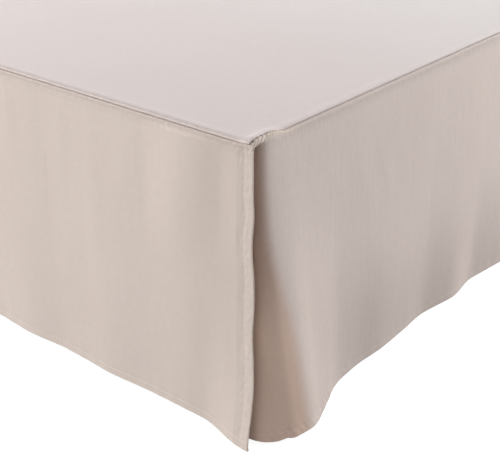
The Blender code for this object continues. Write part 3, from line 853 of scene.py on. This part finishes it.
low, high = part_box("foundation")
bpy.ops.object.select_all(action="DESELECT")
bpy.ops.mesh.primitive_cube_add(size=1.0, location=(low + high) / 2.0, scale=high - low)
base = bpy.context.object
base.name = "base_box"
bpy.ops.object.transform_apply(location=True, rotation=True, scale=True)
only_edges(base, lambda a, b: abs(a.z - b.z) > 0.1)
bpy.ops.mesh.bevel(offset=BASE_CORNER, segments=20, profile=0.5, affect="EDGES")
bpy.ops.object.mode_set(mode="OBJECT")
level = (low.z + high.z) / 2.0
only_edges(base, lambda a, b: (a.z - level) * (b.z - level) > 0.0)
bpy.ops.mesh.bevel(offset=BASE_RIM, segments=6, profile=0.5, affect="EDGES")
bpy.ops.object.mode_set(mode="OBJECT")
bpy.ops.object.shade_smooth_by_angle(angle=math.radians(40.0))
base.select_set(False)
print("base:", len(base.data.polygons), "faces")

# %% Model the legs
LEG_TOP = 0.027
LEG_FOOT = 0.019
LEG_RIM = 0.002
legs = []
leg_nodes = sorted(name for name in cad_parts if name.startswith("leg_"))
for name in leg_nodes:
    low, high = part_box(name)
    middle = (low + high) / 2.0
    if not legs:
        bpy.ops.mesh.primitive_cone_add(
            vertices=64, radius1=LEG_FOOT, radius2=LEG_TOP, depth=high.z - low.z, location=middle
        )
        leg = bpy.context.object
        bpy.ops.object.transform_apply(location=True, rotation=True, scale=True)
        only_edges(leg, lambda a, b: abs(a.z - b.z) < 0.01 and (a - b).length < 0.01)
        bpy.ops.mesh.bevel(offset=LEG_RIM, segments=4, profile=0.5, affect="EDGES")
        bpy.ops.object.mode_set(mode="OBJECT")
        bpy.ops.object.shade_smooth_by_angle(angle=math.radians(40.0))
        first_middle = middle
    else:
        leg = legs[0].copy()
        leg.data = legs[0].data.copy()
        bpy.context.scene.collection.objects.link(leg)
        bpy.ops.object.select_all(action="DESELECT")
        leg.select_set(True)
        bpy.context.view_layer.objects.active = leg
        leg.location = middle - first_middle
        bpy.ops.object.transform_apply(location=True, rotation=True, scale=True)
    leg.name = name.replace("leg_", "turned_leg_")
    leg.select_set(False)
    legs.append(leg)
print("legs:", [leg.name for leg in legs])

# %% [markdown]
# ## Shader maths as plain sums
# A material is a tree of nodes. This small class lets a sum such as 1 - mask * 0.5 build its own
# Math nodes, and its node method adds any other kind of node with its settings and inputs.

# %% A wrapper for sockets
class Field:
    def __init__(self, tree, socket):
        self.tree = tree
        self.socket = socket

    def math(self, operation, *others):
        values = {0: self}
        values.update({k + 1: other for k, other in enumerate(others)})
        return node(self.tree, "ShaderNodeMath", {"operation": operation}, values)

    def __add__(self, other):
        return self.math("ADD", other)

    __radd__ = __add__

    def __mul__(self, other):
        return self.math("MULTIPLY", other)

    def __sub__(self, other):
        return self.math("SUBTRACT", other)

    def __rsub__(self, other):
        return self.math("MULTIPLY", -1.0) + other


def node(tree, kind, settings=None, values=None, output=0):
    made = tree.nodes.new(kind)
    for key, value in (settings or {}).items():
        if key == "stops":
            ramp = made.color_ramp
            ramp.elements[0].position, ramp.elements[0].color = value[0]
            ramp.elements[1].position, ramp.elements[1].color = value[-1]
            for position, colour in value[1:-1]:
                ramp.elements.new(position).color = colour
        else:
            setattr(made, key, value)
    for key, value in (values or {}).items():
        if isinstance(value, Field):
            tree.links.new(value.socket, made.inputs[key])
        else:
            made.inputs[key].default_value = value
    return Field(tree, made.outputs[output])


def mix_colours(tree, share, first, second, blend="MIX"):
    settings = {"data_type": "RGBA", "blend_type": blend}
    return node(tree, "ShaderNodeMix", settings, {0: share, 6: first, 7: second}, output=2)


def noise_at(tree, place, stretch, scale, detail):
    # A noise that is finer along the ways with the larger stretch
    scaled = node(tree, "ShaderNodeVectorMath", {"operation": "MULTIPLY"}, {0: place, 1: stretch})
    return node(tree, "ShaderNodeTexNoise", None, {"Vector": scaled, "Scale": scale, "Detail": detail})


def bump_from(tree, height, strength, distance, **others):
    values = {"Height": height, "Strength": strength, "Distance": distance, **others}
    return node(tree, "ShaderNodeBump", None, values)


def connect(tree, shader, colour, rough, bump):
    for name, field in (("Base Color", colour), ("Roughness", rough), ("Normal", bump)):
        tree.links.new(field.socket, shader.inputs[name])


def fresh_material(name):
    material = bpy.data.materials.new(name)
    material.use_nodes = True
    tree = material.node_tree
    shader = tree.nodes["Principled BSDF"]
    return material, tree, shader


print("socket wrapper ready")

# %% [markdown]
# ## The woven cloth
# The skirt is a fine plain weave: threads go over and under each other about every 0.4 mm. The
# weave is drawn on the cloth map, which is in metres, so it follows every fold. Thicker threads,
# slow clouds, a fine mottle and faint upright streaks keep it from looking printed. Each finish has
# its own shades: bands of the map with painted shade in seam grooves, under seams, along stitch
# lines, above the side panels' hem and in the side's fold, and painted highlights on gathers and a
# hem's doubled edge. It also says where the cloth is worked, which is where stitches draw it up
# into small puckers.

# %% Mix the cloth finishes
THREAD = 0.00042


WHITE = (1.0, 1.0, 1.0, 1.0)
# tint of the painted shade that darkens the side panels towards the hem
PAINTED_HEM_SHADE = (0.875, 0.862, 0.860, 1.0)
# tint of the painted highlight on the gathers under the seam
PAINTED_GATHER_HIGHLIGHT = (1.13, 1.13, 1.09, 1.0)


def smooth_step(value, start, end):
    settings = {"interpolation_type": "SMOOTHSTEP"}
    return node(value.tree, "ShaderNodeMapRange", settings, {0: value, 1: start, 2: end})


def tinted(colour, share, tint):
    # The colour multiplied by a tint, as far as the share says
    shown = mix_colours(colour.tree, share, WHITE, tint)
    return mix_colours(colour.tree, 1.0, colour, shown, "MULTIPLY")


def painted_side_shade_and_highlight(colour, across, down, fold_shade_high, fold_shade_low):
    # Painted shade in the fold behind the foot panel and above the hem, and a painted highlight on the
    # gathers
    low = smooth_step(down, -0.10, -0.28)
    # painted shade in the fold behind the foot panel, darker and browner near the top
    behind = smooth_step(across - low * 0.022, 0.003, -0.019) * smooth_step(down, -0.009, -0.018)
    colour = tinted(colour, behind, mix_colours(colour.tree, low, fold_shade_high, fold_shade_low))
    # painted shade, darker towards the hem
    hem_shade_share = smooth_step(across, 0.0, 0.06) * smooth_step(down, -0.17, -0.37)
    colour = tinted(colour, hem_shade_share, PAINTED_HEM_SHADE)
    # a painted highlight on the gathers under the seam
    gathered = smooth_step(across, 0.060, 0.030) * smooth_step(down, -0.014, -0.007)
    return tinted(colour, gathered, PAINTED_GATHER_HIGHLIGHT)


def thread_pattern(across, down):
    # Threads of both ways, each high where it goes over the others
    turn = 2.0 * math.pi / THREAD
    wave_across = (across * turn).math("SINE")
    wave_down = (down * turn).math("SINE")
    over_under = ((across * (turn / 2.0)).math("SINE") * (down * (turn / 2.0)).math("SINE")) * 0.5 + 0.5
    return (wave_across * 0.25 + 0.25) * over_under + (wave_down * 0.25 + 0.25) * (1 - over_under)


def woven_cloth(name, light, dark, roughness, sheen, weave_depth, shades, worked, painted_fold_tints=None):
    material, tree, shader = fresh_material(name)
    cloth_map = node(tree, "ShaderNodeUVMap", {"uv_map": "cloth"})
    across = node(tree, "ShaderNodeSeparateXYZ", None, {0: cloth_map}, output=0)
    down = node(tree, "ShaderNodeSeparateXYZ", None, {0: cloth_map}, output=1)
    ways = {"across": across, "down": down}

    def noise(stretch, scale, detail):
        return noise_at(tree, cloth_map, stretch, scale, detail)

    threads = thread_pattern(across, down)
    warp_slubs = noise((900.0, 14.0, 1.0), 1.0, 2.0)
    weft_slubs = noise((14.0, 900.0, 1.0), 1.0, 2.0)
    slow = noise((1.0, 1.0, 1.0), 7.0, 3.0)
    fine = noise((1.0, 1.0, 1.0), 60.0, 3.0)
    mottle = noise((1.0, 1.0, 1.0), 105.0, 4.0)
    streaks = noise((115.0, 9.0, 1.0), 1.0, 3.0)
    tone = slow * 0.5 + fine * 0.12 + (mottle - 0.5) * 0.75 + (streaks - 0.5) * 0.30
    tone = tone + warp_slubs * 0.2 + weft_slubs * 0.18 + threads * 0.1
    colour = mix_colours(tree, tone.math("MAXIMUM", 0.0).math("MINIMUM", 1.0), dark, light)
    for row in shades:
        share = smooth_step(ways[row["way"]], row["start"], row["end"])
        colour = tinted(colour, share, row["tint"])
    # the side panels' painted shade and painted highlight
    if painted_fold_tints is not None:
        colour = painted_side_shade_and_highlight(colour, across, down, *painted_fold_tints)
    rough = roughness + (fine - 0.5) * 0.12

    height = threads * weave_depth + warp_slubs * 0.5 + weft_slubs * 0.5 + fine * 1.5
    bump = bump_from(tree, height, 0.35, 0.00012)
    drawn_up = 0.0
    for row in worked:
        drawn_up = smooth_step(ways[row["way"]], row["start"], row["end"]) + drawn_up
    puckers = noise((230.0, 120.0, 1.0), 1.0, 3.0)
    creases = noise((170.0, 22.0, 1.0), 1.0, 2.0) + puckers * drawn_up * 6.0
    connect(tree, shader, colour, rough, bump_from(tree, creases, 0.5, 0.0004, Normal=bump))
    shader.inputs["Sheen Weight"].default_value = sheen
    shader.inputs["Sheen Roughness"].default_value = 0.45
    shader.inputs["Specular IOR Level"].default_value = 0.25
    print(name, "threads every", THREAD * 1000.0, "mm")
    return material


skirt_finish = woven_cloth(
    "skirt_weave", (0.643, 0.553, 0.500, 1.0), (0.579, 0.490, 0.438, 1.0), 0.82, 0.10, 1.0,
    shades=table(
        "way start end tint",
        # painted shade on the foot panel just before its free end
        ("across", 1.395, 1.465, (0.942, 0.938, 0.930, 1.0)),
        # painted shade along the end hem's stitch line, then a painted highlight on the doubled edge past
        # it
        ("across", 1.504, 1.509, (0.930, 0.930, 0.930, 1.0)),
        ("across", 1.516, 1.520, (1.140, 1.140, 1.130, 1.0)),
        # painted shade in the seam groove and along the top of the panel just under the seam
        ("down", -0.0054, -0.0040, (0.950, 0.930, 0.910, 1.0)),
        ("down", -0.0130, -0.0080, (0.880, 0.875, 0.870, 1.0)),
    ),
    worked=table(
        "way start end",
        ("down", -0.382, -0.390), ("down", -0.022, -0.010), ("across", 1.508, 1.516),
    ),
)
side_finish = woven_cloth(
    "side_weave", (0.646, 0.556, 0.514, 1.0), (0.581, 0.492, 0.451, 1.0), 0.82, 0.10, 1.0,
    # painted shade in the seam groove
    shades=table("way start end tint", ("down", -0.0054, -0.0040, (0.60, 0.56, 0.53, 1.0))),
    worked=table("way start end", ("down", -0.382, -0.390), ("down", -0.024, -0.010)),
    # painted shade in the fold behind the foot panel: darker near the top, lighter near the hem
    painted_fold_tints=((0.67, 0.560, 0.490, 1.0), (1.00, 0.860, 0.765, 1.0)),
)
deck_finish = woven_cloth(
    "deck_weave", (0.738, 0.700, 0.684, 1.0), (0.686, 0.645, 0.627, 1.0), 0.84, 0.08, 0.8,
    shades=table(
        "way start end tint",
        # painted shade at the platform's edge over the foot seam
        ("down", 0.013, 0.006, (0.860, 0.840, 0.820, 1.0)),
        # painted shade, darker and pinker towards the foot
        ("down", 0.900, 0.0, (0.968, 0.905, 0.905, 1.0)),
    ),
    worked=table("way start end", ("down", 0.020, 0.010), ("across", 1.502, 1.511)),
)

# %% [markdown]
# ## The base's cover and the wooden legs
# The base's cover is a coarser off-white cloth. It is read from Object coordinates, because a box
# has no cloth map. The legs are stained wood: rings stretched along the leg give the grain.

# %% Mix the base and leg finishes
COARSE_THREAD = 0.0012
GRAIN_STRETCH = (60.0, 60.0, 5.0)


def base_cover():
    material, tree, shader = fresh_material("base_cover")
    place = node(tree, "ShaderNodeTexCoord", output=3)
    parts = [node(tree, "ShaderNodeSeparateXYZ", None, {0: place}, output=k) for k in range(3)]
    turn = 2.0 * math.pi / COARSE_THREAD
    waves = [(part * turn).math("SINE") for part in parts]
    weave = waves[0] + waves[1] + waves[2]
    mottle = noise_at(tree, place, (1.0, 1.0, 1.0), 18.0, 4.0)
    colour = mix_colours(tree, mottle, (0.56, 0.55, 0.52, 1.0), (0.64, 0.63, 0.61, 1.0))
    bump = bump_from(tree, weave * 0.3 + mottle, 0.4, 0.0003)
    connect(tree, shader, colour, 0.82 + mottle * 0.1, bump)
    return material


def stained_wood():
    material, tree, shader = fresh_material("stained_wood")
    place = node(tree, "ShaderNodeTexCoord", output=3)
    grain = noise_at(tree, place, GRAIN_STRETCH, 3.0, 6.0)
    pores = noise_at(tree, place, GRAIN_STRETCH, 16.0, 2.0)
    colour = mix_colours(tree, grain, (0.085, 0.042, 0.022, 1.0), (0.235, 0.130, 0.070, 1.0))
    connect(tree, shader, colour, 0.35 + pores * 0.2, bump_from(tree, pores, 0.2, 0.0004))
    return material


base_finish = base_cover()
leg_finish = stained_wood()

# %% [markdown]
# ## Dressing the pieces
# Each piece gets its finish and rides on the model's one body, and the solid that it stands for is hidden.

# %% Finish, ride and replace
def dress(piece, material, node_name):
    piece.data.materials.clear()
    piece.data.materials.append(material)
    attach(piece, "root")
    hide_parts(node_name)


dress(deck, deck_finish, "deck")
dress(foot_panel, skirt_finish, "foot_panel")
dress(right_panel, side_finish, "right_panel")
dress(left_panel, side_finish, "left_panel")
dress(base, base_finish, "foundation")
for leg, name in zip(legs, leg_nodes):
    dress(leg, leg_finish, name)

# %% [markdown]
# ## Floor and light
# The room is plain: a pale floor and six wide soft lights round the bed, each a row with its way
# round, its height and its power. The strong ones stand left of the foot, high on the left, and
# behind on the right. The two in front are weak, so the corner's hollow keeps its shadow.

# %% Floor and lights
bpy.ops.object.select_all(action="DESELECT")
bpy.ops.mesh.primitive_plane_add(size=30.0, location=(0.0, 0.0, 0.0))
floor = bpy.context.object
floor.name = "floor"
floor_finish, _, floor_shader = fresh_material("pale_floor")
floor_shader.inputs["Base Color"].default_value = (0.22, 0.22, 0.22, 1.0)
floor_shader.inputs["Roughness"].default_value = 0.9
floor_shader.inputs["Emission Color"].default_value = (1.0, 1.0, 1.0, 1.0)
floor_shader.inputs["Emission Strength"].default_value = 0.93
floor.data.materials.append(floor_finish)
# the floor's glow is for the camera and doesn't light the cloth
floor.visible_diffuse = False

AIM = Vector((0.45, -0.75, 0.20))
LIGHT_DISTANCE = 3.6
LIGHT_SIZE = (2.2, 1.8)
LIGHTS = table(
    "name around up power",
    ("foot_light", -45.0, 12.0, 85.0),
    ("high_left_light", -85.0, 40.0, 97.0),
    ("front_light", 0.0, 12.0, 32.0),
    ("low_front_light", 30.0, 12.0, 38.0),
    ("right_light", 135.0, 15.0, 109.0),
    ("back_light", 170.0, 15.0, 95.0),
)


def soft_light(name, around, up, power):
    data = bpy.data.lights.new(name, "AREA")
    data.shape = "RECTANGLE"
    data.size, data.size_y = LIGHT_SIZE
    data.energy = power
    light = bpy.data.objects.new(name, data)
    bpy.context.scene.collection.objects.link(light)
    around, up = math.radians(around), math.radians(up)
    way = Vector((math.sin(around) * math.cos(up), -math.cos(around) * math.cos(up), math.sin(up)))
    place = AIM + way * LIGHT_DISTANCE
    light.location = place
    light.rotation_euler = (AIM - place).to_track_quat("-Z", "Y").to_euler()


for row in LIGHTS:
    soft_light(**row)
world = bpy.data.worlds.new("room")
world.use_nodes = True
world.node_tree.nodes["Background"].inputs["Color"].default_value = (1.0, 1.0, 1.0, 1.0)
world.node_tree.nodes["Background"].inputs["Strength"].default_value = 0.03
bpy.context.scene.world = world
bpy.context.scene.view_settings.view_transform = "Standard"
